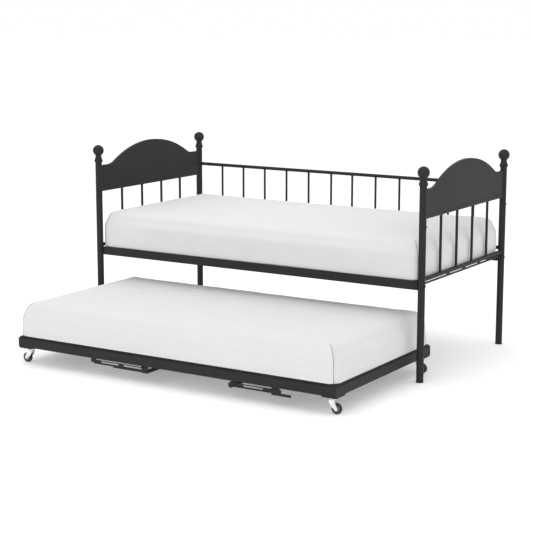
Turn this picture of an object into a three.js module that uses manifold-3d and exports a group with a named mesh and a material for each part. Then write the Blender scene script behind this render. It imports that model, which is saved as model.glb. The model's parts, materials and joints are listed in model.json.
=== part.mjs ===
import * as THREE from 'three';
import { mergeVertices } from 'three/addons/utils/BufferGeometryUtils.js';
import Module from 'manifold-3d';

const wasm = await Module();
wasm.setup();

// ---- driving dimensions, millimetres; X along the bed, Y from front to back, Z up ----
const GAP = 0.3; // clearance between touching pieces

// daybed frame
const BED_LENGTH = 1970; // end posts, centre to centre
const BED_DEPTH = 965; // front post to back post, centre to centre
const POST_R = 18;
const POST_WALL = 1.6;
const POST_SEAM_Z = 786; // the upper post plugs into the lower one here
const POST_TOP_Z = 966;
const BALL_R = 30;
const BALL_Z = 1030;
const FOOT_H = 7;

// arched end panel and the welded grille below it
const PANEL_T = 16;
const PANEL_BOTTOM_Z = 822;
const SHOULDER_Z = 947;
const ARCH_RISE = 107;
const ARCH_R = 684; // big convex arc
const FILLET_R = 125; // concave arc that runs out into the shoulder
const GRILLE_TUBE = 18; // square tube above and below the spindles
const END_BOTTOM_Z = 499; // underside of the lower end tube
const END_PITCH = 186;
const END_SPINDLE_R = 6.9;

// back grille
const BACK_TOP_Z = 870; // axis of the round top rail
const BACK_TOP_R = 9.5;
const BACK_BOTTOM_Z = 530;
const BACK_PITCH = 149.5;
const BACK_MIDDLE_PITCH = 137;
const BACK_SPINDLE_R = 6.1;

// side and end rails of the daybed
const RAIL_TOP_Z = 502;
const RAIL_H = 46;
const RAIL_T = 3;
const SHELF_Z = 490; // underside of the shelf that the slats rest on
const END_RAIL_Z = 482;
const END_RAIL_H = 11;
const FLANGE_W = 32;
const END_FLANGE_W = 15;
const TAB_Z = 462;
const SLAT_T = 3;
const BOX_SLAT_T = 9; // box-section slats of the trundle

// mattresses
const UPPER_MATTRESS = [1942, 948, 207];
const UPPER_MATTRESS_FRONT_Y = 5; // from the front posts
const LOWER_MATTRESS = [1858, 946, 185];

// trundle
const TRUNDLE = [1872, 958]; // frame, outside
const TRUNDLE_GAP = 17; // behind it, to the front posts, when it is fully out
const ROLLED_IN = 250; // how far short of fully out it stands
const FRAME_BOTTOM_Z = 88;
const FRAME_H = 46;
const RIVET_H = 2;
const LEDGE_Z = 129; // underside of the ledge that the slats rest on
const LEDGE_W = 30;
const ARM = 360; // lifting arm, pivot to pivot
const ARM_OUT_X = 850; // pivot on the caster carrier
const ARM_Z = 103;
const LINK_DROP = 11; // the parallel link lies this far below the arm
const CASTER_IN = 45; // swivel axis in from the frame's corner
const CASTER_H = 80;
const WHEEL_R = 25;
const WHEEL_W = 19;
const TRAIL = 24;

const END_X = BED_LENGTH / 2;
const ARM_IN_X = ARM_OUT_X - ARM;
const TRUNDLE_Y = ROLLED_IN - POST_R - TRUNDLE_GAP - TRUNDLE[1] / 2; // from the front posts
const MIDDLE_Y = (TRUNDLE_Y - TRUNDLE[1] / 2 - RIVET_H + BED_DEPTH + BALL_R) / 2;

// ---- materials ----
const paint = (name, color, roughness, metalness) =>
  new THREE.MeshStandardMaterial({ name, color, roughness, metalness });
const BLACK = paint('black_powder_coat', 0x35363a, 0.52, 0.35);
const ZINC = paint('zinc', 0xb9bcc0, 0.32, 0.9);
const RUBBER = paint('wheel_rubber', 0x1e1e20, 0.75, 0);
const PLASTIC = paint('foot_plastic', 0x202124, 0.6, 0);
const COVER = paint('mattress_cover', 0xf2f2f2, 0.9, 0);

// ---- shapes ----
const AXES = { x: [0, 0, -Math.PI / 2], y: [0, 0, 0], z: [Math.PI / 2, 0, 0] };

// a box given by its low and high corners
function span(low, high) {
  const g = new THREE.BoxGeometry(1, 1, 1);
  const p = g.attributes.position;
  for (let i = 0; i < p.count; i++) {
    for (let k = 0; k < 3; k++) p.setComponent(i, k, p.getComponent(i, k) > 0 ? high[k] : low[k]);
  }
  return g;
}

function box(size, at) {
  return span(at.map((c, k) => c - size[k] / 2), at.map((c, k) => c + size[k] / 2));
}

function rod(r, length, axis, at, sides = 16) {
  const g = new THREE.CylinderGeometry(r, r, length, sides);
  return turn(g, axis).translate(...at);
}

function turn(g, axis) {
  const [x, y, z] = AXES[axis];
  return g.rotateX(x).rotateY(y).rotateZ(z);
}

// profile points are [radius, height]; the height runs along axis
function lathe(points, sides, axis = 'z') {
  const g = new THREE.LatheGeometry(points.map(([r, h]) => new THREE.Vector2(r, h)), sides);
  return turn(g, axis);
}

function solid(g) {
  const bare = g.clone();
  bare.deleteAttribute('normal');
  bare.deleteAttribute('uv');
  const m = mergeVertices(bare, 1e-4);
  const mesh = new wasm.Mesh({
    numProp: 3,
    vertProperties: new Float32Array(m.attributes.position.array),
    triVerts: new Uint32Array(m.index.array),
  });
  return new wasm.Manifold(mesh);
}

function geometry(manifold) {
  const mesh = manifold.getMesh();
  const g = new THREE.BufferGeometry();
  g.setAttribute('position', new THREE.BufferAttribute(mesh.vertProperties, 3));
  g.setIndex(new THREE.BufferAttribute(mesh.triVerts, 1));
  g.computeVertexNormals();
  return g;
}

function weld(...shapes) {
  return geometry(shapes.map(solid).reduce((a, b) => a.add(b)));
}

function drill(g, ...holes) {
  return geometry(holes.map(solid).reduce((a, b) => a.subtract(b), solid(g)));
}

function mirrorX(g) {
  return geometry(solid(g).mirror([1, 0, 0]));
}

function piece(parent, name, g, material) {
  const mesh = new THREE.Mesh(g, material);
  mesh.name = name;
  parent.add(mesh);
  return mesh;
}

// extrude a shape drawn in Y (across) and Z (up) by a thickness along X, centred on X = 0
function plateYZ(shape, t) {
  const g = new THREE.ExtrudeGeometry(shape, { depth: t, bevelEnabled: false, curveSegments: 16 });
  return g.translate(0, 0, -t / 2).rotateX(Math.PI / 2).rotateZ(Math.PI / 2);
}

// extrude a shape drawn in X and Z by a thickness along Y, from y0 to y0 + t
function plateXZ(shape, y0, t, curveSegments = 6) {
  const g = new THREE.ExtrudeGeometry(shape, { depth: t, bevelEnabled: false, curveSegments });
  return g.rotateX(Math.PI / 2).translate(0, y0 + t, 0);
}

// ---- daybed ----
const model = new THREE.Group();
model.name = 'trundle_bed';
const daybed = new THREE.Group();
daybed.position.y = -MIDDLE_Y;
model.add(daybed);

const corners = [
  ['front_left', -1, 0],
  ['front_right', 1, 0],
  ['rear_left', -1, 1],
  ['rear_right', 1, 1],
];

function tube(r, wall, z0, z1) {
  return lathe([[r - wall, z0], [r, z0], [r, z1], [r - wall, z1], [r - wall, z0]], 20);
}

function lowerPost(outward) {
  const bolts = [480, POST_SEAM_Z - 18].map((z) => rod(3.4, 14, 'x', [outward * POST_R, 0, z], 8));
  return drill(tube(POST_R, POST_WALL, FOOT_H - 2, POST_SEAM_Z), ...bolts);
}

// the reduced plug at its bottom end slides into the lower post
function upperPost(outward) {
  const inner = POST_R - POST_WALL - 0.4;
  const profile = [
    [inner - 1.6, POST_SEAM_Z - 40], [inner, POST_SEAM_Z - 40], [inner, POST_SEAM_Z + 1],
    [POST_R, POST_SEAM_Z + 1], [POST_R, POST_TOP_Z], [inner - 1.6, POST_TOP_Z],
    [inner - 1.6, POST_SEAM_Z - 40],
  ];
  return drill(lathe(profile, 20), rod(3.4, 16, 'x', [outward * (inner - 1), 0, POST_SEAM_Z - 18], 8));
}

function finial() {
  const plug = POST_R - 3.2 - 0.8;
  const z = POST_TOP_Z + GAP;
  const points = [[0, z - 26], [plug, z - 26], [plug, z], [20.5, z], [23, z + 4], [23.5, z + 8]];
  points.push([22.6, z + 12], [20.2, z + 16], [18.2, z + 23], [15.8, z + 31]);
  for (let k = 2; k <= 10; k++) {
    const a = Math.PI * (1 - k / 10);
    points.push([k === 10 ? 0 : BALL_R * Math.sin(a), BALL_Z + BALL_R * Math.cos(a)]);
  }
  return lathe(points, 16);
}

function foot() {
  const plug = POST_R - POST_WALL - 0.5;
  const r = POST_R + 1;
  const z = FOOT_H - 2 - GAP;
  return lathe([[0, 0], [r - 2, 0], [r, 1.5], [r, z], [plug, z], [plug, 30], [0, 30]], 16);
}

// domed head outside, shank through the tube wall
function bolt() {
  const points = [[0, -13], [2.9, -13], [2.9, GAP], [6.4, GAP], [5.6, 2.6], [3, 3.8], [0, 4]];
  return lathe(points, 8, 'x');
}

for (const [where, sx, back] of corners) {
  const group = new THREE.Group();
  group.position.set(sx * END_X, back * BED_DEPTH, 0);
  daybed.add(group);
  piece(group, `lower_post_${where}`, lowerPost(sx), BLACK);
  piece(group, `upper_post_${where}`, upperPost(sx), BLACK);
  piece(group, `finial_${where}`, finial(), BLACK);
  piece(group, `foot_cap_${where}`, foot(), PLASTIC);
  for (const [level, z] of [['rail', 480], ['seam', POST_SEAM_Z - 18]]) {
    const b = piece(group, `${level}_bolt_${where}`, bolt(), BLACK);
    b.position.set(sx * POST_R, 0, z);
    b.rotation.z = sx > 0 ? 0 : Math.PI;
  }
}

function panelShape() {
  const half = BED_DEPTH / 2 - POST_R - GAP;
  const foot = Math.sqrt(2 * (ARCH_R + FILLET_R) * ARCH_RISE - ARCH_RISE ** 2);
  const lean = Math.asin(foot / (ARCH_R + FILLET_R));
  const top = SHOULDER_Z + ARCH_RISE - ARCH_R;
  const s = new THREE.Shape();
  s.moveTo(-half, PANEL_BOTTOM_Z + GAP);
  s.lineTo(half, PANEL_BOTTOM_Z + GAP);
  s.lineTo(half, SHOULDER_Z);
  s.lineTo(foot, SHOULDER_Z);
  s.absarc(foot, SHOULDER_Z + FILLET_R, FILLET_R, -Math.PI / 2, -Math.PI / 2 - lean, true);
  s.absarc(0, top, ARCH_R, Math.PI / 2 - lean, Math.PI / 2 + lean, false);
  s.absarc(-foot, SHOULDER_Z + FILLET_R, FILLET_R, -Math.PI / 2 + lean, -Math.PI / 2, true);
  s.lineTo(-half, SHOULDER_Z);
  return s;
}

function endGrille() {
  const half = BED_DEPTH / 2 - POST_R - GAP;
  const t = GRILLE_TUBE / 2;
  const parts = [
    span([-t, -half, PANEL_BOTTOM_Z - GRILLE_TUBE], [t, half, PANEL_BOTTOM_Z]),
    span([-t, -half, END_BOTTOM_Z], [t, half, END_BOTTOM_Z + GRILLE_TUBE]),
  ];
  for (const y of [-END_PITCH, 0, END_PITCH]) {
    parts.push(span([-5, y - 14, END_RAIL_Z + END_RAIL_H + GAP], [5, y + 14, END_BOTTOM_Z + 2]));
  }
  const z0 = END_BOTTOM_Z + GRILLE_TUBE - 2;
  const z1 = PANEL_BOTTOM_Z - GRILLE_TUBE + 2;
  for (let k = 0; k < 4; k++) {
    parts.push(rod(END_SPINDLE_R, z1 - z0, 'z', [0, (k - 1.5) * END_PITCH, (z0 + z1) / 2], 10));
  }
  return weld(...parts);
}

// end rail between the posts: a small angle with a tab at each end for the bolt
function endRail() {
  const half = BED_DEPTH / 2 - POST_R - GAP;
  const s = new THREE.Shape();
  const points = [[1.5, 0], [1.5, END_RAIL_H], [-1.5, END_RAIL_H], [-1.5, RAIL_T], [-END_FLANGE_W, RAIL_T]];
  s.moveTo(-END_FLANGE_W, END_RAIL_Z);
  for (const [x, z] of points) s.lineTo(x, END_RAIL_Z + z);
  return weld(
    plateXZ(s, 2 - half, 2 * half - 4),
    span([-9, -half, TAB_Z], [9, -half + RAIL_T, END_RAIL_Z + END_RAIL_H - 2]),
    span([-9, half - RAIL_T, TAB_Z], [9, half, END_RAIL_Z + END_RAIL_H - 2]),
  );
}

for (const [side, sx] of [['left', -1], ['right', 1]]) {
  const group = new THREE.Group();
  group.position.set(sx * END_X, BED_DEPTH / 2, 0);
  if (sx < 0) group.rotation.z = Math.PI;
  daybed.add(group);
  piece(group, `end_panel_${side}`, plateYZ(panelShape(), PANEL_T), BLACK);
  piece(group, `end_grille_${side}`, endGrille(), BLACK);
  piece(group, `end_rail_${side}`, endRail(), BLACK);
}

// side rail: an upright web with a shelf for the slats, and a plate at each end against the posts
function sideRail() {
  const half = END_X - POST_R - GAP;
  const low = RAIL_TOP_Z - RAIL_H;
  const s = new THREE.Shape();
  s.moveTo(-1.5, low);
  for (const [y, z] of [[1.5, low], [1.5, SHELF_Z], [FLANGE_W, SHELF_Z], [FLANGE_W, SHELF_Z + RAIL_T]]) s.lineTo(y, z);
  for (const [y, z] of [[1.5, SHELF_Z + RAIL_T], [1.5, RAIL_TOP_Z], [-1.5, RAIL_TOP_Z]]) s.lineTo(y, z);
  return weld(
    plateYZ(s, 2 * half - 4),
    span([-half, -11, low + 4], [-half + RAIL_T, 11, RAIL_TOP_Z - 2]),
    span([half - RAIL_T, -11, low + 4], [half, 11, RAIL_TOP_Z - 2]),
  );
}

piece(daybed, 'side_rail_front', sideRail(), BLACK);
const rearRail = piece(daybed, 'side_rail_rear', sideRail(), BLACK);
rearRail.position.y = BED_DEPTH;
rearRail.rotation.z = Math.PI;

// round top rail, square bottom rail, welded spindles
function backGrille() {
  const half = END_X - POST_R - GAP;
  const parts = [
    rod(BACK_TOP_R, 2 * half, 'x', [0, 0, BACK_TOP_Z], 16),
    box([2 * half, GRILLE_TUBE, GRILLE_TUBE], [0, 0, BACK_BOTTOM_Z]),
  ];
  const length = BACK_TOP_Z - BACK_BOTTOM_Z;
  for (let k = 0; k < 12; k++) {
    const side = k < 6 ? -1 : 1;
    const n = k < 6 ? 5 - k : k - 6;
    const x = side * (BACK_MIDDLE_PITCH / 2 + n * BACK_PITCH);
    parts.push(rod(BACK_SPINDLE_R, length, 'z', [x, 0, BACK_BOTTOM_Z + length / 2], 10));
  }
  return weld(...parts);
}

piece(daybed, 'back_grille', backGrille(), BLACK).position.y = BED_DEPTH;

// flat cross slats welded to lengthwise strips under them
function slatDeck(length, depth, slats, z, t, lengthwise) {
  const parts = [];
  for (let k = 0; k < slats; k++) {
    const x = (k / (slats - 1) - 0.5) * (length - 40);
    parts.push(box([40, depth, t], [x, 0, z + t / 2]));
  }
  for (const y of lengthwise) {
    parts.push(box([length - 4, 22, t - 1], [0, y * (depth - 26), z + t / 2]));
  }
  return weld(...parts);
}

const bedDeckZ = SHELF_Z + RAIL_T + GAP;
const bedDeck = slatDeck(2 * (END_X - 6) - 30, BED_DEPTH - 6, 12, bedDeckZ, SLAT_T, [-0.24, 0.24]);
piece(daybed, 'slat_deck', trimDeck(bedDeck), BLACK).position.y = BED_DEPTH / 2;

// the deck stops clear of the four posts and the rails' end plates
function trimDeck(g) {
  const cuts = [];
  for (const sx of [-1, 1]) {
    for (const sy of [-1, 1]) {
      cuts.push(box([80, 80, 40], [sx * END_X, (sy * BED_DEPTH) / 2, bedDeckZ]));
    }
  }
  return drill(g, ...cuts);
}

// crowned block with rounded edges; z is its underside
function mattress([length, depth, height], z) {
  const r = 38;
  const s = new THREE.Shape();
  const x = length / 2 - r;
  const y = depth / 2 - r;
  s.moveTo(-x, -depth / 2);
  s.absarc(x, -y, r, -Math.PI / 2, 0, false);
  s.absarc(x, y, r, 0, Math.PI / 2, false);
  s.absarc(-x, y, r, Math.PI / 2, Math.PI, false);
  s.absarc(-x, -y, r, Math.PI, 1.5 * Math.PI, false);
  const bevel = 18;
  return new THREE.ExtrudeGeometry(s, {
    depth: height - 2 * bevel, bevelThickness: bevel, bevelSize: bevel, bevelOffset: -bevel,
    bevelSegments: 2, curveSegments: 4,
  }).translate(0, 0, z + bevel);
}

const upper = piece(daybed, 'upper_mattress', mattress(UPPER_MATTRESS, bedDeckZ + SLAT_T + 1), COVER);
upper.position.y = UPPER_MATTRESS_FRONT_Y + UPPER_MATTRESS[1] / 2;

// ---- trundle ----
const trundle = new THREE.Group();
trundle.position.y = TRUNDLE_Y - MIDDLE_Y;
model.add(trundle);
const TX = TRUNDLE[0] / 2;
const TY = TRUNDLE[1] / 2;

// plane of each layer of the lifting gear, as distance from the middle line to its inner face
const LAYER = { arm: [432, 5], lug: [439, 4], link: [445, 4] };

function layerY(layer, side) {
  const [y, t] = LAYER[layer];
  return side > 0 ? y : -y - t;
}

// flat bar between two pivots, with round ends; a hole at each pivot
function bar(x0, x1, z, halfWidth, y0, t, holeR) {
  const s = new THREE.Shape();
  s.absarc(x1, z, halfWidth, -Math.PI / 2, Math.PI / 2, false);
  s.absarc(x0, z, halfWidth, Math.PI / 2, 1.5 * Math.PI, false);
  for (const x of [x0, x1]) {
    s.holes.push(new THREE.Path().absarc(x, z, holeR, 0, 2 * Math.PI, true));
  }
  return plateXZ(s, y0, t);
}

// pins on a lug: inward through the arm, outward through the link
function pins(x, side) {
  const [armY] = LAYER.arm;
  const [lugY, lugT] = LAYER.lug;
  const [linkY, linkT] = LAYER.link;
  const pin = (r, from, to, z) => rod(r, to - from, 'y', [x, (side * (from + to)) / 2, z], 12);
  return [
    pin(5, armY - 2, lugY + 2, ARM_Z),
    pin(3.5, lugY + lugT - 2, linkY + linkT + 2, ARM_Z - LINK_DROP),
  ];
}

function frameLug(x, side) {
  const [lugY, lugT] = LAYER.lug;
  const y0 = side > 0 ? lugY : -lugY - lugT;
  const reach = side > 0 ? [lugY, TY - 1] : [-TY + 1, -lugY];
  return [
    span([x - 18, y0, ARM_Z - LINK_DROP - 6], [x + 18, y0 + lugT, LEDGE_Z + 1]),
    span([x - 18, reach[0], LEDGE_Z - 5], [x + 18, reach[1], LEDGE_Z + 1]),
    ...pins(x, side),
  ];
}

// four welded angle rails, and the lugs that carry the lifting arms
function trundleFrame() {
  const z0 = FRAME_BOTTOM_Z;
  const z1 = z0 + FRAME_H;
  const ring = (w, d, a, b) => {
    const outer = solid(span([-TX, -TY, a], [TX, TY, b]));
    return outer.subtract(solid(span([-TX + w, -TY + d, a - 1], [TX - w, TY - d, b + 1])));
  };
  const lugs = [-1, 1].flatMap((sx) => [-1, 1].flatMap((sy) => frameLug(sx * ARM_IN_X, sy)));
  for (const x of [-TX + 40, TX - 40]) lugs.push(rod(5, 3, 'y', [x, -TY - RIVET_H + 1.5, z0 + 20], 10));
  return geometry(lugs.map(solid).reduce((a, b) => a.add(b), ring(RAIL_T, RAIL_T, z0, z1)
    .add(ring(LEDGE_W, LEDGE_W, LEDGE_Z, LEDGE_Z + RAIL_T))));
}

piece(trundle, 'trundle_frame', trundleFrame(), BLACK);
const trundleDeckZ = LEDGE_Z + RAIL_T + GAP;
const deckSize = TRUNDLE.map((side) => side - 2 * RAIL_T - 4);
const trundleDeck = slatDeck(...deckSize, 12, trundleDeckZ, BOX_SLAT_T, [-0.5, -0.24, 0.24, 0.5]);
piece(trundle, 'trundle_slat_deck', trundleDeck, BLACK);
piece(trundle, 'trundle_mattress', mattress(LOWER_MATTRESS, trundleDeckZ + BOX_SLAT_T + 1), COVER);

// left leg: two lifting arms joined by a cross tube; the right leg is its mirror image
function leg() {
  const parts = [];
  for (const side of [-1, 1]) {
    parts.push(bar(-ARM_OUT_X, -ARM_IN_X, ARM_Z, 11, layerY('arm', side), LAYER.arm[1], 5 + GAP + 0.1));
  }
  parts.push(rod(9, 2 * LAYER.arm[0] + 2, 'y', [-ARM_OUT_X + ARM / 2, 0, ARM_Z], 16));
  return weld(...parts);
}

function link(side) {
  const z = ARM_Z - LINK_DROP;
  return bar(-ARM_OUT_X, -ARM_IN_X, z, 7, layerY('link', side), LAYER.link[1], 3.5 + GAP + 0.1);
}

// beam across the end with a caster plate at each corner and a pair of pivot lugs
function carrier() {
  const plateZ = CASTER_H + GAP;
  const beamX = -TX + 60;
  const parts = [span([beamX, -452, plateZ + 2], [beamX + 14, 452, plateZ + 34])];
  for (const side of [-1, 1]) {
    const y0 = layerY('lug', side);
    parts.push(span([beamX + 2, y0, ARM_Z - LINK_DROP - 8], [-ARM_OUT_X + 9, y0 + 4, ARM_Z + 9]));
    parts.push(...pins(-ARM_OUT_X, side));
    const cy = side * (TY - CASTER_IN);
    parts.push(span([-TX + 2, cy - 42, plateZ], [beamX + 18, cy + 43, FRAME_BOTTOM_Z - 0.5]));
  }
  return weld(...parts);
}

piece(trundle, 'leg_left', leg(), BLACK);
piece(trundle, 'leg_right', mirrorX(leg()), BLACK);
piece(trundle, 'carrier_left', carrier(), BLACK);
piece(trundle, 'carrier_right', mirrorX(carrier()), BLACK);
for (const [where, side] of [['front', -1], ['rear', 1]]) {
  piece(trundle, `link_left_${where}`, link(side), BLACK);
  piece(trundle, `link_right_${where}`, mirrorX(link(side)), BLACK);
}

// ---- slotted guide bars that hang under the frame ----
function slottedBar(x0, x1, slots, z0, z1, y0, t) {
  const s = new THREE.Shape();
  s.moveTo(x0, z0);
  s.lineTo(x1, z0);
  s.lineTo(x1, z1);
  s.lineTo(x0, z1);
  for (const [a, b] of slots) {
    const r = 4.5;
    const z = (z0 + z1) / 2 + 2;
    const hole = new THREE.Path();
    hole.absarc(b - r, z, r, -Math.PI / 2, Math.PI / 2, false);
    hole.absarc(a + r, z, r, Math.PI / 2, 1.5 * Math.PI, false);
    s.holes.push(hole);
  }
  return plateXZ(s, y0, t);
}

const guideY = (side, inset, t) => (side > 0 ? TY - inset - t : -TY + inset);

function leftGuide() {
  const parts = [];
  for (const side of [-1, 1]) {
    const y = guideY(side, 8, 4);
    parts.push(slottedBar(-450, -120, [[-405, -297], [-268, -156]], 60, 80, y, 4));
    parts.push(span([-330, y, 54], [-120, y + 4, 62]));
    parts.push(span([-468, y, 66], [-440, y + 4, FRAME_BOTTOM_Z + 26]));
    parts.push(span([-156, y, 52], [-116, y + 4, FRAME_BOTTOM_Z + 26]));
  }
  const reach = TY - 10;
  parts.push(span([-132, -reach, 56], [-112, reach, 68]));
  return weld(...parts);
}

function rightGuide() {
  const parts = [];
  for (const side of [-1, 1]) {
    const y = guideY(side, 8, 4);
    parts.push(slottedBar(359, 640, [[434, 543]], 58, 78, y, 4));
    parts.push(span([589, y, 50], [632, y + 4, FRAME_BOTTOM_Z + 26]));
    parts.push(span([366, y, 66], [392, y + 4, FRAME_BOTTOM_Z + 26]));
    parts.push(span([632, y, 50], [693, y + 4, 62]));
  }
  parts.push(rod(14, 2 * TY - 12, 'y', [366, 0, 66], 20));
  return weld(...parts);
}

piece(trundle, 'guide_left', leftGuide(), BLACK);
piece(trundle, 'guide_right', rightGuide(), BLACK);

// ---- casters ----
// fixed top plate with the raceway and the kingpin
function casterPlate() {
  const pin = [
    [0, 51], [7, 51], [7, 55], [4, 55.5], [4, 69.6], [17, 69.6], [19, 72], [19, CASTER_H - 2], [0, CASTER_H - 2],
  ];
  return weld(lathe(pin, 16), box([72, 60, 3], [0, 0, CASTER_H - 1.5]));
}

// swivelling fork with its riveted axle; the wheel trails towards +X
function casterFork() {
  const inner = WHEEL_W / 2 + 1.2;
  const crown = lathe([[4.5, 61], [17, 61], [19, 63], [19, 69], [4.5, 69], [4.5, 61]], 16);
  const parts = [crown];
  for (const side of [-1, 1]) {
    const s = new THREE.Shape();
    s.moveTo(-12, 67);
    s.absarc(TRAIL, WHEEL_R, 8, Math.PI * 1.12, Math.PI * 2.15, false);
    s.lineTo(13, 67);
    parts.push(plateXZ(s, side > 0 ? inner : -inner - 2.2, 2.2));
  }
  parts.push(rod(4, 2 * inner + 8, 'y', [TRAIL, 0, WHEEL_R], 12));
  return weld(...parts);
}

function wheel() {
  const w = WHEEL_W / 2;
  const points = [
    [4.6, -w], [WHEEL_R - 3, -w], [WHEEL_R, -w + 4], [WHEEL_R, w - 4], [WHEEL_R - 3, w], [4.6, w], [4.6, -w],
  ];
  return lathe(points, 20, 'y');
}

for (const [where, sx, back] of corners) {
  const group = new THREE.Group();
  const sy = back ? 1 : -1;
  group.position.set(sx * (TX - CASTER_IN), sy * (TY - CASTER_IN), 0);
  trundle.add(group);
  piece(group, `caster_plate_${where}`, casterPlate(), ZINC);
  const swivel = new THREE.Group();
  if (where === 'front_left') swivel.rotation.z = Math.PI;
  group.add(swivel);
  piece(swivel, `caster_fork_${where}`, casterFork(), ZINC);
  piece(swivel, `caster_wheel_${where}`, wheel(), RUBBER).position.set(TRAIL, 0, WHEEL_R);
}

export default model;
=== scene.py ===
import json
import math

import bmesh
import bpy
from mathutils import Matrix, Vector, noise
from mathutils.bvhtree import BVHTree


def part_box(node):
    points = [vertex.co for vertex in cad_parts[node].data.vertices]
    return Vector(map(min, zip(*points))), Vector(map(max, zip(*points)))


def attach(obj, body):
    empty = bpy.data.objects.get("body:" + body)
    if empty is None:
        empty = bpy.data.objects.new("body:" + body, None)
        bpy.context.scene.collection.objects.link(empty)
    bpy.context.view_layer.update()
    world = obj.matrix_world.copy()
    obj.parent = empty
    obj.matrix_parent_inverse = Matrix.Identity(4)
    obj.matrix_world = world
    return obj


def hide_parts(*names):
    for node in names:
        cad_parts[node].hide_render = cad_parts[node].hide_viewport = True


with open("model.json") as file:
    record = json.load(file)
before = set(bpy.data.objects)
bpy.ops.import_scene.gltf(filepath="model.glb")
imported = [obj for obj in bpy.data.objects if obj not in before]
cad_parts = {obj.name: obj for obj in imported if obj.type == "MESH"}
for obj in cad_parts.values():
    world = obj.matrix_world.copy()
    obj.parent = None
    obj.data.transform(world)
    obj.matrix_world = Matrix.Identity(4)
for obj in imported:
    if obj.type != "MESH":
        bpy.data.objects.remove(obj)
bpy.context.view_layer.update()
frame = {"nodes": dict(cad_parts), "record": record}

MM = 0.001  # shapes below are in millimetres
scene = bpy.context.scene
record = frame["record"]
BODY_OF = {n: b for b, ns in record["behaviour"]["bodies"].items() for n in ns}
SLOT_OF = {s["node"]: s["material_slot"] for s in record["subparts"]}

# ---- dimensions shared with the CAD part, millimetres ----
END_X = 985
DEPTH = 965
POST_R = 18
SEAM_Z = 786
POST_TOP_Z = 966
BALL_Z = 1030
BALL_R = 30
TUBE = 18
PANEL_BOTTOM_Z = 822
END_TUBE_Z = 499
END_PITCH = 186
END_SPINDLE_R = 6.9
BACK_SPINDLE_R = 6.1
BACK_TOP_Z = 870
BACK_LOW_Z = 530
FRONT_Y = -125
TRUNDLE_Y = -389
TX = 936  # half the trundle frame's length and depth
TY = 479
RAIL_BOLT_Z = 480
SEAM_BOLT_DROP = 18
SPACER_Z = 493.4
BACK_PITCH = 149.5
BACK_MIDDLE_X = 68.5
CASTER_IN = 45
CASTER_H = 80
WHEEL_R = 25
TRAIL = 24
CORNERS = [("front_left", -1, 0), ("front_right", 1, 0), ("rear_left", -1, 1), ("rear_right", 1, 1)]


# ---- materials ----
class Shader:
    """A material built from nodes around one Principled shader."""

    def __init__(self, name, color, roughness, metallic=0.0, **values):
        self.mat = bpy.data.materials.new(name)
        self.mat.use_nodes = True
        self.tree = self.mat.node_tree
        self.bsdf = self.tree.nodes["Principled BSDF"]
        self.bsdf.inputs["Base Color"].default_value = (*color, 1)
        self.bsdf.inputs["Roughness"].default_value = roughness
        self.bsdf.inputs["Metallic"].default_value = metallic
        for key, value in values.items():
            self.bsdf.inputs[key.replace("_", " ")].default_value = value
        self.coord = self.tree.nodes.new("ShaderNodeTexCoord").outputs["Object"]
        self.bump_out = None

    def node(self, kind, **settings):
        n = self.tree.nodes.new("ShaderNode" + kind)
        for key, value in settings.items():
            setattr(n, key, value)
        return n

    def link(self, a, b):
        self.tree.links.new(a, b)

    def stretched(self, scale):
        m = self.node("Mapping")
        m.inputs["Scale"].default_value = scale
        self.link(self.coord, m.inputs["Vector"])
        return m.outputs["Vector"]

    def noise(self, scale, detail=3.0, rough=0.5, stretch=None):
        n = self.node("TexNoise")
        n.inputs["Scale"].default_value = scale
        n.inputs["Detail"].default_value = detail
        n.inputs["Roughness"].default_value = rough
        self.link(self.stretched(stretch) if stretch else self.coord, n.inputs["Vector"])
        return n.outputs["Fac"]

    def ramp(self, fac, stops):
        r = self.node("ValToRGB")
        while len(r.color_ramp.elements) < len(stops):
            r.color_ramp.elements.new(0.5)
        for e, (at, c) in zip(r.color_ramp.elements, stops):
            e.position = at
            e.color = (*c, 1) if isinstance(c, tuple) else (c, c, c, 1)
        self.link(fac, r.inputs["Fac"])
        return r.outputs["Color"]

    def multiply(self, a, b):
        """The product of two colours."""
        m = self.node("Mix", data_type="RGBA", blend_type="MULTIPLY")
        m.inputs[0].default_value = 1.0
        self.link(a, m.inputs[6])
        self.link(b, m.inputs[7])
        return m.outputs[2]

    def maths(self, operation, a, b):
        m = self.node("Math", operation=operation)
        for socket, value in zip(m.inputs, (a, b)):
            if isinstance(value, bpy.types.NodeSocket):
                self.link(value, socket)
            else:
                socket.default_value = value
        return m.outputs[0]

    def color(self, socket):
        self.link(socket, self.bsdf.inputs["Base Color"])

    def roughness(self, fac, low, high):
        m = self.node("MapRange")
        m.inputs["To Min"].default_value = low
        m.inputs["To Max"].default_value = high
        self.link(fac, m.inputs["Value"])
        self.link(m.outputs["Result"], self.bsdf.inputs["Roughness"])

    def bump(self, height, strength, distance):
        b = self.node("Bump")
        b.inputs["Strength"].default_value = strength
        b.inputs["Distance"].default_value = distance
        self.link(height, b.inputs["Height"])
        if self.bump_out:
            self.link(self.bump_out, b.inputs["Normal"])
        self.bump_out = b.outputs["Normal"]
        self.link(self.bump_out, self.bsdf.inputs["Normal"])


def powder_coat(name, dark, light, roughness):
    s = Shader(name, light, roughness, 0.0, Specular_IOR_Level=0.12)
    cloud = s.noise(5, 4, 0.6)
    grain = s.noise(1400, 2, 0.6)
    tone = s.ramp(cloud, [(0.3, dark), (0.7, light)])
    speck = s.ramp(grain, [(0.30, 0.72), (0.55, 1.0), (0.8, 1.25)])
    s.color(s.multiply(tone, speck))
    s.roughness(s.noise(40, 3, 0.6), roughness - 0.07, roughness + 0.07)
    s.bump(s.noise(650, 2, 0.5), 0.25, 0.00035)
    s.bump(grain, 0.12, 0.0001)
    return s.mat


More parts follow.
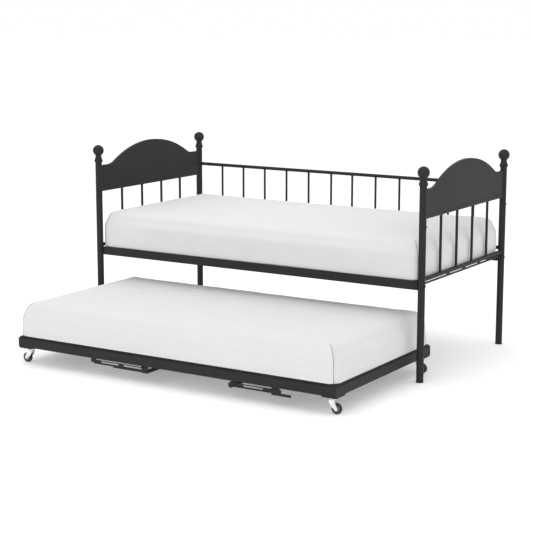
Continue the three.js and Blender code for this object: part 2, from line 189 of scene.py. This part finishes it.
def zinc_plate():
    s = Shader("bright_zinc", (0.80, 0.81, 0.82), 0.34, 0.8)
    cloud = s.noise(60, 3, 0.6)
    tones = [(0.3, (0.70, 0.71, 0.73)), (0.55, (0.82, 0.83, 0.84)), (0.75, (0.86, 0.85, 0.83))]
    s.color(s.ramp(cloud, tones))
    brushed = s.noise(300, 3, 0.7, (1, 1, 9))
    s.roughness(brushed, 0.28, 0.5)
    s.bump(brushed, 0.08, 0.0002)
    return s.mat


def moulded(name, color, roughness, grain=900):
    s = Shader(name, color, roughness, 0.0, Specular_IOR_Level=0.4)
    light = tuple(min(1, c * 1.35 + 0.004) for c in color)
    s.color(s.ramp(s.noise(70, 3, 0.6), [(0.3, color), (0.75, light)]))
    s.roughness(s.noise(220, 3, 0.6), roughness - 0.08, roughness + 0.1)
    s.bump(s.noise(grain, 2, 0.5), 0.3, 0.0002)
    return s.mat


def knit_cover():
    """Smooth white fitted cover: fine ribs both ways, faint mottling and soft tension marks."""
    s = Shader("white_knit_cover", (0.73, 0.72, 0.725), 0.92, 0.0, Specular_IOR_Level=0.25,
               Sheen_Weight=0.25, Sheen_Roughness=0.6)
    weave = None
    for direction in ("X", "Y", "Z"):
        w = s.node("TexWave", wave_type="BANDS", bands_direction=direction)
        w.inputs["Scale"].default_value = 190
        w.inputs["Distortion"].default_value = 0.6
        w.inputs["Detail"].default_value = 1.0
        s.link(s.coord, w.inputs["Vector"])
        weave = w.outputs["Fac"] if weave is None else s.maths("ADD", weave, w.outputs["Fac"])
    weave = s.maths("MULTIPLY", weave, 0.333)
    mottle = s.noise(9, 4, 0.6)
    tone = s.ramp(mottle, [(0.3, (0.660, 0.645, 0.653)), (0.7, (0.678, 0.663, 0.671))])
    weave_and_shade_line = s.ramp(weave, [(0.2, 0.98), (0.7, 1.0)])
    s.color(s.multiply(tone, weave_and_shade_line))
    s.roughness(mottle, 0.86, 0.96)
    s.bump(s.noise(3.2, 1, 0.4), 0.12, 0.008)
    s.bump(s.noise(16, 2, 0.5), 0.12, 0.0012)
    s.bump(weave, 0.1, 0.0002)
    return s.mat


def floor_white():
    s = Shader("studio_floor", (0.85, 0.85, 0.85), 0.9, 0.0, Specular_IOR_Level=0.1,
               Emission_Color=(1, 1, 1, 1), Emission_Strength=0.22)
    s.color(s.ramp(s.noise(0.8, 2, 0.5), [(0.3, 0.845), (0.7, 0.86)]))
    return s.mat


MATERIAL = {
    "black_coat": powder_coat("satin_black_coat", (0.0240, 0.0232, 0.0236), (0.0290, 0.0280, 0.0285), 0.5),
    "bolt_black": powder_coat("black_oxide_bolt", (0.016, 0.0155, 0.0158), (0.022, 0.0212, 0.0216), 0.4),
    "foot_plastic": moulded("foot_plastic", (0.012, 0.012, 0.013), 0.55),
    "zinc": zinc_plate(),
    "rubber": moulded("wheel_rubber", (0.014, 0.014, 0.015), 0.5, 500),
    "hub": moulded("wheel_hub_grey", (0.20, 0.20, 0.21), 0.45, 700),
    "cover": knit_cover(),
    # the seam material is painted shade: its dark grey cord stands for the shadow in the groove beside each
    # corner cord
    "seam": moulded("seam_groove_painted_shade", (0.30, 0.29, 0.295), 0.9, 1500),
}


# ---- shapes: closed lofts gathered into one mesh ----
class Solid:
    def __init__(self, place=None):
        self.bm = bmesh.new()
        self.place = place or Matrix.Identity(4)

    def loft(self, rings, loop=False):
        """Quads between rings of points; flat caps at both ends, or the last ring joined to the first."""
        made = [[self.bm.verts.new(self.place @ Vector(p)) for p in ring] for ring in rings]
        pairs = list(zip(made, made[1:])) + ([(made[-1], made[0])] if loop else [])
        n = len(made[0])
        for a, b in pairs:
            for i in range(n):
                j = (i + 1) % n
                self.bm.faces.new((a[i], a[j], b[j], b[i]))
        if not loop:
            self.bm.faces.new(list(reversed(made[0])))
            self.bm.faces.new(made[-1])
        return self

    def revolve(self, profile, sides=32, at=(0, 0, 0), axis="z", loop=False, hexed=()):
        """profile is (radius, height) points; those whose index is in hexed make a hexagon."""
        turn = {"z": Matrix.Identity(3), "x": Matrix.Rotation(math.pi / 2, 3, "Y"),
                "y": Matrix.Rotation(-math.pi / 2, 3, "X"), "-y": Matrix.Rotation(math.pi / 2, 3, "X"),
                "-x": Matrix.Rotation(-math.pi / 2, 3, "Y")}[axis]
        rings = []
        for k, (r, h) in enumerate(profile):
            ring = []
            for i in range(sides):
                a = 2 * math.pi * i / sides
                reach = r / math.cos((a % (math.pi / 3)) - math.pi / 6) if k in hexed else r
                ring.append(Vector(at) + turn @ Vector((reach * math.cos(a), reach * math.sin(a), h)))
            rings.append(ring)
        return self.loft(rings, loop)

    def bar(self, lo, hi, r):
        """Box with rounded long edges, along its longest side, and small chamfers on its ends."""
        steps = 3
        size = [b - a for a, b in zip(lo, hi)]
        along = max(range(3), key=lambda k: size[k])
        u, v = [k for k in range(3) if k != along]
        r = min(r, size[u] * 0.45, size[v] * 0.45)
        start, end, chamfer = lo[along], hi[along], r * 0.5
        ends = [(start, chamfer), (start + chamfer, 0), (end - chamfer, 0), (end, chamfer)]
        rings = []
        for at, inset in ends:
            ring = []
            for su, sv, turn in ((1, 1, 0), (-1, 1, 90), (-1, -1, 180), (1, -1, 270)):
                cu = hi[u] - r if su > 0 else lo[u] + r
                cv = hi[v] - r if sv > 0 else lo[v] + r
                for k in range(steps + 1):
                    a = math.radians(turn + 90 * k / steps)
                    p = [0, 0, 0]
                    p[along] = at
                    p[u] = cu + (r - inset) * math.cos(a)
                    p[v] = cv + (r - inset) * math.sin(a)
                    ring.append(p)
            rings.append(ring)
        return self.loft(rings)

    def plate(self, outline, y0, y1):
        """Outline of points in X and Z, extruded from y0 to y1."""
        return self.loft([[(x, y, z) for x, z in outline] for y in (y0, y1)])

    def wire(self, path, r, closed=False):
        """Round cord along a path of points."""
        sides = 8
        n = len(path)
        rings = []
        for i, p in enumerate(path):
            a = path[(i - 1) % n] if closed or i > 0 else p
            b = path[(i + 1) % n] if closed or i < n - 1 else p
            t = (Vector(b) - Vector(a)).normalized()
            side = t.cross(Vector((0, 0, 1)))
            side = side.normalized() if side.length > 0.2 else t.cross(Vector((0.3, 1, 0))).normalized()
            up = side.cross(t)
            rings.append([Vector(p) + r * (math.cos(w) * side + math.sin(w) * up)
                          for w in (2 * math.pi * k / sides for k in range(sides))])
        return self.loft(rings, closed)

    def object(self, name, material, sharp=35):
        bm = self.bm
        bmesh.ops.scale(bm, vec=(MM, MM, MM), verts=bm.verts)
        bmesh.ops.recalc_face_normals(bm, faces=bm.faces)
        limit = math.radians(sharp)
        for f in bm.faces:
            f.smooth = True
        for e in bm.edges:
            e.smooth = len(e.link_faces) != 2 or e.calc_face_angle(0) < limit
        mesh = bpy.data.meshes.new(name)
        bm.to_mesh(mesh)
        bm.free()
        mesh.materials.append(material)
        obj = bpy.data.objects.new(name, mesh)
        scene.collection.objects.link(obj)
        return obj


def detail(name, solid, beside, material=None, sharp=35):
    """An added piece that rides with a CAD node."""
    slot = SLOT_OF[beside]
    obj = solid.object(name, material or MATERIAL[slot], sharp)
    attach(obj, BODY_OF[beside])
    return obj


def stand_in(name, solid, node):
    """The piece that is shown in place of a CAD node."""
    obj = detail(name, solid, node)
    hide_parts(node)
    return obj


def edged(node, width=0.7, segments=2, angle=40):
    """Keeps a CAD node, with its edges rounded off."""
    obj = frame["nodes"][node]
    if "custom_normal" in obj.data.attributes:
        obj.data.attributes.remove(obj.data.attributes["custom_normal"])
    obj.data.shade_smooth()
    weld = obj.modifiers.new("weld", "WELD")
    weld.merge_threshold = 0.00002
    bevel = obj.modifiers.new("bevel", "BEVEL")
    bevel.width = width * MM
    bevel.segments = segments
    bevel.limit_method = "ANGLE"
    bevel.angle_limit = math.radians(angle)
    bevel.harden_normals = True
    bevel.use_clamp_overlap = True


for node, obj in frame["nodes"].items():
    obj.data.materials.clear()
    obj.data.materials.append(MATERIAL[SLOT_OF[node]])


# ---- posts, finials, feet, bolts ----
def arc(cx, cy, r, a0, a1, n):
    return [(cx + r * math.cos(math.radians(a0 + (a1 - a0) * k / n)),
             cy + r * math.sin(math.radians(a0 + (a1 - a0) * k / n))) for k in range(n + 1)]


def finial():
    z = POST_TOP_Z + 0.3
    profile = [(12, z - 24), (14, z - 22), (14, z), (20, z), (20.6, z + 0.6)]
    profile += arc(16.5, z + 8, 7, -58, 52, 12)
    profile += [(19.9, z + 16), (19.1, z + 19), (18.3, z + 22.5)]
    profile += [(17.3, z + 26), (16.4, z + 29), (15.9, z + 31)]
    ball = arc(0, BALL_Z, BALL_R, -56, 89, 26)
    return profile + ball


def bolt_head(r=6.4, h=3.9, socket=2.2):
    """Domed button head with a hexagon socket; the height runs outward."""
    dome = [(r, 0.2), (r, 0.9), (r * 0.95, 1.7), (r * 0.82, h * 0.66), (r * 0.62, h * 0.9), (r * 0.48, h)]
    return dome + [(socket + 0.4, h), (socket, h - 0.35), (socket, h - 2.2)], {len(dome) + 1, len(dome) + 2}


BOLT, BOLT_HEX = bolt_head()
SHANK = [(2.8, -12), (2.8, -1)]

for where, sx, back in CORNERS:
    at = (sx * END_X, FRONT_Y + back * DEPTH, 0)
    out = "x" if sx > 0 else "-x"
    tube = [(16.4, 5), (18, 5), (18, SEAM_Z - 0.8), (17.4, SEAM_Z - 0.2), (16.4, SEAM_Z - 0.2)]
    stand_in(f"post_lower_{where}", Solid().revolve(tube, 44, at, loop=True), f"lower_post_{where}")
    tube = [(14.2, SEAM_Z - 40), (15.8, SEAM_Z - 40), (15.8, SEAM_Z + 0.9), (17.3, SEAM_Z + 0.9),
            (18, SEAM_Z + 1.6), (18, POST_TOP_Z), (14.2, POST_TOP_Z)]
    stand_in(f"post_upper_{where}", Solid().revolve(tube, 44, at, loop=True), f"upper_post_{where}")
    stand_in(f"ball_finial_{where}", Solid().revolve(finial(), 48, at), f"finial_{where}")
    foot = [(16.6, 0), (18.2, 0.4), (19, 1.4), (19, 4.2)]
    foot += [(18.6, 4.7), (15.8, 4.7), (15.6, 30), (14.8, 30.5)]
    stand_in(f"foot_{where}", Solid().revolve(foot, 40, at), f"foot_cap_{where}")
    for level, z in (("rail", RAIL_BOLT_Z), ("seam", SEAM_Z - SEAM_BOLT_DROP)):
        spot = (at[0] + sx * (POST_R - 0.3), at[1], z)
        head = Solid().revolve(SHANK + BOLT, 24, spot, out, hexed={k + 2 for k in BOLT_HEX})
        stand_in(f"bolt_{level}_{where}", head, f"{level}_bolt_{where}")


# ---- grilles ----
def spindle(solid, r, x, y, z0, z1):
    """Round bar with a small weld fillet at each end."""
    fillet = [(2.0, -0.4), (1.9, 0.4), (1.0, 1.3), (0.25, 2.4), (0, 4)]
    flare = [(r + wider, z0 + h) for wider, h in fillet]
    top = [(a, z0 + z1 - h) for a, h in reversed(flare)]
    solid.revolve(flare + top, 24, (x, y, 0))


def end_grille(sx):
    x = sx * END_X
    y0, y1 = FRONT_Y + POST_R + 0.3, FRONT_Y + DEPTH - POST_R - 0.3
    t = TUBE / 2
    s = Solid()
    s.bar((x - t, y0, PANEL_BOTTOM_Z - TUBE), (x + t, y1, PANEL_BOTTOM_Z), 2.4)
    s.bar((x - t, y0, END_TUBE_Z), (x + t, y1, END_TUBE_Z + TUBE), 2.4)
    middle = FRONT_Y + DEPTH / 2
    for k in (-1, 0, 1):
        y = middle + k * END_PITCH
        s.bar((x - 5, y - 14, SPACER_Z), (x + 5, y + 14, END_TUBE_Z + 1), 1)
    for k in range(4):
        y = middle + (k - 1.5) * END_PITCH
        spindle(s, END_SPINDLE_R, x, y, END_TUBE_Z + TUBE, PANEL_BOTTOM_Z - TUBE)
    return s


for name, sx in (("left", -1), ("right", 1)):
    stand_in(f"grille_{name}", end_grille(sx), f"end_grille_{name}")
    edged(f"end_panel_{name}", 2.2, 3, 50)
    edged(f"end_rail_{name}", 0.7)


def back_grille():
    s = Solid(Matrix.Translation((0, FRONT_Y + DEPTH, 0)))
    half = END_X - POST_R - 0.3
    rail = [(8.9, -half), (9.5, -half + 0.7), (9.5, half - 0.7), (8.9, half)]
    s.revolve(rail, 32, (0, 0, BACK_TOP_Z), "x")
    s.bar((-half, -9, BACK_LOW_Z - 9), (half, 9, BACK_LOW_Z + 9), 2.4)
    for k in range(6):
        for sx in (-1, 1):
            x = sx * (BACK_MIDDLE_X + BACK_PITCH * k)
            spindle(s, BACK_SPINDLE_R, x, 0, BACK_LOW_Z + 9, BACK_TOP_Z - 8.5)
    return s


stand_in("back_rail_grille", back_grille(), "back_grille")

for node in ("side_rail_front", "side_rail_rear"):
    edged(node, 0.8)
for node in ("slat_deck", "trundle_slat_deck"):
    edged(node, 0.6)
edged("trundle_frame", 0.8)
for node in ("guide_left", "guide_right"):
    edged(node, 0.6)
for side in ("left", "right"):
    for node in (f"leg_{side}", f"carrier_{side}", f"link_{side}_front", f"link_{side}_rear"):
        edged(node, 0.5)


# ---- casters ----
def caster_mount(place):
    s = Solid(place)
    outline = []
    for cx, cy, a in ((30, 24, 0), (-30, 24, 90), (-30, -24, 180), (30, -24, 270)):
        outline += arc(cx, cy, 6, a, a + 90, 5)
    levels = ((0.985, CASTER_H - 3), (1, CASTER_H - 2.5), (1, CASTER_H - 0.4), (0.985, CASTER_H))
    s.loft([[(k * x, k * y, z) for x, y in outline] for k, z in levels])
    kingpin = [(3, 52), (6.4, 52), (7, 52.6), (7, 55), (4, 55.4), (4, 69.4)]
    race = [(16, 69.4), (18.6, 71), (19, 72.4), (19, 75.5), (20.5, 77.2)]
    s.revolve(kingpin + race, 32, hexed={1, 2, 3})
    for x in (-26, 26):
        for y in (-20, 20):
            nut = [(4.9, 77.2), (4.9, 73.4), (4.2, 72.8), (2.8, 72.8), (2.6, 71.2)]
            s.revolve(nut, 24, (x, y, 0), hexed={0, 1, 2})
    return s


def caster_yoke(place):
    s = Solid(place)
    s.revolve([(5, 62), (15, 62), (18.6, 63.4), (19, 65), (19, 67.6), (17.6, 69), (5, 69)], 32, loop=True)
    for side in (-1, 1):
        inner = side * 10.8
        outer = side * 13.2
        eye = arc(TRAIL, WHEEL_R, 8.5, 202, 388, 12)
        leg = [(-13, 64), (-12, 58), (-4, 40)] + eye + [(24, 44), (15, 58), (14, 64)]
        s.plate(leg, min(inner, outer), max(inner, outer))
        s.revolve([(5.6, 0), (5.6, 3.2), (4.6, 4.0), (2.5, 4.0)], 24, (TRAIL, outer - side * 0.4, WHEEL_R),
                  "y" if side > 0 else "-y", hexed={0, 1, 2})
    s.bar((-13, -13.2, 60.8), (14, 13.2, 64.2), 1.0)
    s.revolve([(3.9, -13), (3.9, 13)], 20, (TRAIL, 0, WHEEL_R), "y")
    return s


def caster_roller(place):
    s = Solid(place)
    tread = [(14.6, -7.4), (16.2, -8.6), (18, -9.3), (21.5, -9.4)] + arc(21, -5.4, 4, -80, -8, 5)
    tread += [(r, -h) for r, h in reversed(tread)]
    return s.revolve(tread, 44, (TRAIL, 0, WHEEL_R), "y", loop=True)


def caster_hub(place):
    s = Solid(place)
    disc = [(4.6, -9.2), (7.2, -9.2), (7.8, -8.6), (8.0, -6.2), (12.6, -6.0), (13.4, -7.0), (14.4, -7.0)]
    disc += [(r, -h) for r, h in reversed(disc)]
    s.revolve(disc, 36, (TRAIL, 0, WHEEL_R), "y", loop=True)
    for side in (-1, 1):
        for k in range(6):
            a = math.radians(60 * k)
            spot = (TRAIL + 10.3 * math.cos(a), side * 6.0, WHEEL_R + 10.3 * math.sin(a))
            s.revolve([(1.5, -1), (1.5, 0.8), (1.1, 1.3)], 12, spot, "y" if side > 0 else "-y")
    return s


for where, sx, back in CORNERS:
    sy = 1 if back else -1
    place = Matrix.Translation((sx * (TX - CASTER_IN), TRUNDLE_Y + sy * (TY - CASTER_IN), 0))
    stand_in(f"caster_mount_{where}", caster_mount(place), f"caster_plate_{where}")
    swung = place @ Matrix.Rotation(math.pi if where == "front_left" else 0, 4, "Z")
    stand_in(f"caster_yoke_{where}", caster_yoke(swung), f"caster_fork_{where}")
    stand_in(f"caster_tyre_{where}", caster_roller(swung), f"caster_wheel_{where}")
    detail(f"caster_hub_{where}", caster_hub(swung), f"caster_wheel_{where}", material=MATERIAL["hub"])


# ---- mattresses ----
VOXEL = 0.013  # metres
CLOTH_FRAMES = 20
SEAM_R = 3.0
# a dark grey cord beside each corner cord is painted shade of the seam's groove
SHADE_LINE_R = 1.5
SHADE_LINE_SHIFT = 0.0046  # metres beside the cord
HEM_R = 0.9
HEM_Z = 0.024  # metres above the underside


def rounded_rectangle(hx, hy, r, steps=8):
    out = []
    for sx, sy, a in ((1, 1, 0), (-1, 1, 90), (-1, -1, 180), (1, -1, 270)):
        out += arc(sx * (hx - r), sy * (hy - r), r, a, a + 90, steps)
    return out


def foam_block(lo, hi, corner, inset, top=48, bottom=8):
    """Starting block in millimetres: rounded corners in plan, a soft top edge and a tighter bottom edge.
    It is waisted, so that its sides come out even when it swells."""
    cx, cy = (lo[0] + hi[0]) / 2, (lo[1] + hi[1]) / 2
    hx, hy = (hi[0] - lo[0]) / 2 - inset, (hi[1] - lo[1]) / 2 - inset
    z0, z1 = lo[2] + 0.6, hi[2] - inset
    spread = inset - 2
    levels = [(z0 + bottom * (1 - math.cos(a)), bottom * (1 - math.sin(a)) - spread)
              for a in (math.radians(15 * k) for k in range(7))]
    levels += [(z0 + bottom + 24, -spread * 0.45), (z0 + bottom + 50, 0)]
    levels += [(z1 - top * (1 - math.sin(a)), top * (1 - math.cos(a)))
               for a in (math.radians(11.25 * k) for k in range(9))]
    s = Solid()
    s.loft([[(cx + x, cy + y, z) for x, y in rounded_rectangle(hx - d, hy - d, max(corner - d, 8))]
            for z, d in levels])
    return s


def bake(obj):
    """Applies the object's modifiers to its mesh."""
    graph = bpy.context.evaluated_depsgraph_get()
    mesh = bpy.data.meshes.new_from_object(obj.evaluated_get(graph), depsgraph=graph)
    obj.modifiers.clear()
    obj.data = mesh


def inflate(obj, cap, floor_z):
    """Cloth under pressure; a point moves at most cap, and none sinks below the slats."""
    start = [v.co.copy() for v in obj.data.vertices]
    pins = obj.vertex_groups.new(name="rests")
    for v in obj.data.vertices:
        if v.co.z < floor_z + 0.004:
            pins.add([v.index], 1.0, "REPLACE")
    cloth = obj.modifiers.new("cloth", "CLOTH")
    c = cloth.settings
    c.use_pressure = True
    c.uniform_pressure_force = 4
    c.effector_weights.gravity = 0
    c.quality = 4
    c.tension_stiffness = 30
    c.compression_stiffness = 30
    c.bending_stiffness = 2
    c.vertex_group_mass = pins.name
    cloth.point_cache.frame_start = 1
    cloth.point_cache.frame_end = CLOTH_FRAMES
    for f in range(1, CLOTH_FRAMES + 1):
        scene.frame_set(f)
    bake(obj)
    scene.frame_set(1)
    for v, p in zip(obj.data.vertices, start):
        d = v.co - p
        if d.length > cap:
            d *= cap / d.length
        v.co = p + d
        v.co.z = max(v.co.z, floor_z)


def rumple(mesh, lo, seed):
    """Slack in the cover: shallow long waves on the sides, almost none on top."""
    normals = [v.normal.copy() for v in mesh.vertices]
    for v, n in zip(mesh.vertices, normals):
        if v.co.z < lo.z + 0.006:
            continue
        side = 1 - abs(n.z)
        p = Vector((v.co.x * 3.1, v.co.y * 3.1, v.co.z * 7 + seed))
        wave = noise.fractal(p, 0.6, 2.0, 3)
        v.co += n * wave * (0.0022 * side + 0.0012)


def settle(mesh, lo, hi, radius, reach=0.0015):
    """The sides below the rounded top edge stand out to a rounded rectangle just inside the box."""
    middle, half = (lo + hi) / 2, (hi - lo) / 2
    for v in mesh.vertices:
        low = min(1.0, (hi.z - 0.048 - v.co.z) / 0.035)
        if low <= 0:
            continue
        off = v.co - middle
        q = Vector((abs(off.x) - half.x + reach + radius, abs(off.y) - half.y + reach + radius))
        if min(q) > 0:
            gap, out = radius - q.length, q.normalized()
        else:
            gap, out = radius - max(q), Vector((1, 0)) if q.x > q.y else Vector((0, 1))
        push = gap * low * low * (3 - 2 * low) * min(1.0, max(0.0, (0.045 - gap) / 0.02))
        v.co.x += math.copysign(push * out.x, off.x)
        v.co.y += math.copysign(push * out.y, off.y)


def mattress(name, node, corner, inset, seed):
    lo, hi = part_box(node)
    block = foam_block(lo / MM, hi / MM, corner, inset)
    obj = stand_in(name, block, node)
    remesh = obj.modifiers.new("remesh", "REMESH")
    remesh.mode = "VOXEL"
    remesh.voxel_size = VOXEL
    bake(obj)
    inflate(obj, inset * MM + 0.001, lo.z + 0.0006)
    smooth = obj.modifiers.new("smooth", "SMOOTH")
    smooth.factor = 0.5
    smooth.iterations = 6
    bake(obj)
    settle(obj.data, lo, hi, corner * MM)
    rumple(obj.data, lo, seed)
    obj.data.shade_smooth()
    sub = obj.modifiers.new("subdivision", "SUBSURF")
    sub.levels = sub.render_levels = 1
    return obj


def seams(name, obj, node):
    """Corner cords, each with a dark grey cord beside it that is painted shade of the seam's groove, and
    the cover's hem, on the finished surface.
    """
    tree = BVHTree.FromObject(obj, bpy.context.evaluated_depsgraph_get())
    lo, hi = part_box(node)
    middle = (lo + hi) / 2
    hx, hy = (hi.x - lo.x) / 2, (hi.y - lo.y) / 2
    s = Solid()
    weave_and_shade_line = Solid()
    for sx in (-1, 1):
        for sy in (-1, 1):
            corner = Vector((middle.x + sx * (hx - 0.04), middle.y + sy * (hy - 0.04)))
            out = Vector((sx, sy, 0)).normalized()
            across = Vector((-out.y, out.x, 0)) * sx * sy
            # the first cord is the seam's piping; the second, shifted beside it, is painted shade of the
            # groove
            for cord, shift, lift, r in ((s, 0, 0.0008, SEAM_R), (weave_and_shade_line, SHADE_LINE_SHIFT, 0, SHADE_LINE_R)):
                path = []
                for k in range(26):
                    z = lo.z + 0.006 + (hi.z - lo.z - 0.02) * k / 25
                    start = Vector((corner.x, corner.y, z)) + out * 0.3 + across * shift
                    hit = tree.ray_cast(start, -out)[0]
                    if hit:
                        path.append((hit + out * lift) / MM)
                cord.wire(path, r)
    loop = rounded_rectangle(hx, hy, 0.06, 10)
    dense = []
    for a, b in zip(loop, loop[1:] + loop[:1]):
        steps = max(1, round(math.dist(a, b) / 0.03))
        dense += [Vector(a).lerp(Vector(b), k / steps) for k in range(steps)]
    path = []
    for x, y in dense:
        inner = Vector((max(-hx + 0.07, min(hx - 0.07, x)), max(-hy + 0.07, min(hy - 0.07, y))))
        out = (Vector((x, y)) - inner).normalized().to_3d()
        start = Vector((middle.x + inner.x, middle.y + inner.y, lo.z + HEM_Z)) + out * 0.3
        hit = tree.ray_cast(start, -out)[0]
        if hit:
            path.append(hit / MM)
    s.wire(path, HEM_R, closed=True)
    detail(name, s, node, sharp=180)
    # the dark grey cords are painted shade of the seam grooves
    detail(f"{name}_thread", weave_and_shade_line, node, material=MATERIAL["seam"], sharp=180)


upper = mattress("mattress_upper", "upper_mattress", 30, 7, 1.3)
lower = mattress("mattress_lower", "trundle_mattress", 24, 9, 7.7)
seams("mattress_upper_seams", upper, "upper_mattress")
seams("mattress_lower_seams", lower, "trundle_mattress")


# ---- floor, light, camera ----
s = Solid()
s.bar((-60000, -60000, -60), (60000, 60000, 0), 5)
floor = s.object("floor", floor_white())

world = bpy.data.worlds.new("studio")
scene.world = world
world.use_nodes = True
world.node_tree.nodes["Background"].inputs["Color"].default_value = (1, 1, 1, 1)
world.node_tree.nodes["Background"].inputs["Strength"].default_value = 1.0


def softbox(name, at, target, size, power):
    light = bpy.data.lights.new(name, "AREA")
    light.shape = "RECTANGLE"
    light.size, light.size_y = size
    light.energy = power
    obj = bpy.data.objects.new(name, light)
    obj.location = at
    obj.rotation_euler = (Vector(target) - Vector(at)).to_track_quat("-Z", "Y").to_euler()
    scene.collection.objects.link(obj)


softbox("key_softbox", (-0.6, 0.3, 5.0), (-0.2, -0.1, 0.4), (4, 4), 62)
softbox("front_softbox", (2.5, -7.5, 2.2), (0.0, -0.3, 0.3), (5, 3), 78)

scene.view_settings.view_transform = "Standard"
scene.view_settings.look = "None"

FRAME_WIDTH = 533
FOCAL = 1454  # in the same unit as the frame's width
SENSOR = 36  # millimetres
camera_data = bpy.data.cameras.new("camera")
camera_data.sensor_width = SENSOR
camera_data.lens = FOCAL / FRAME_WIDTH * SENSOR
camera_data.clip_end = 200
camera = bpy.data.objects.new("camera", camera_data)
camera.location = (4.0169, -6.3550, 1.8272)
yaw, pitch = math.radians(32.15), math.radians(-10.3)
camera.rotation_euler = (math.pi / 2 + pitch, 0, yaw)
scene.collection.objects.link(camera)
scene.camera = camera

bpy.context.view_layer.update()
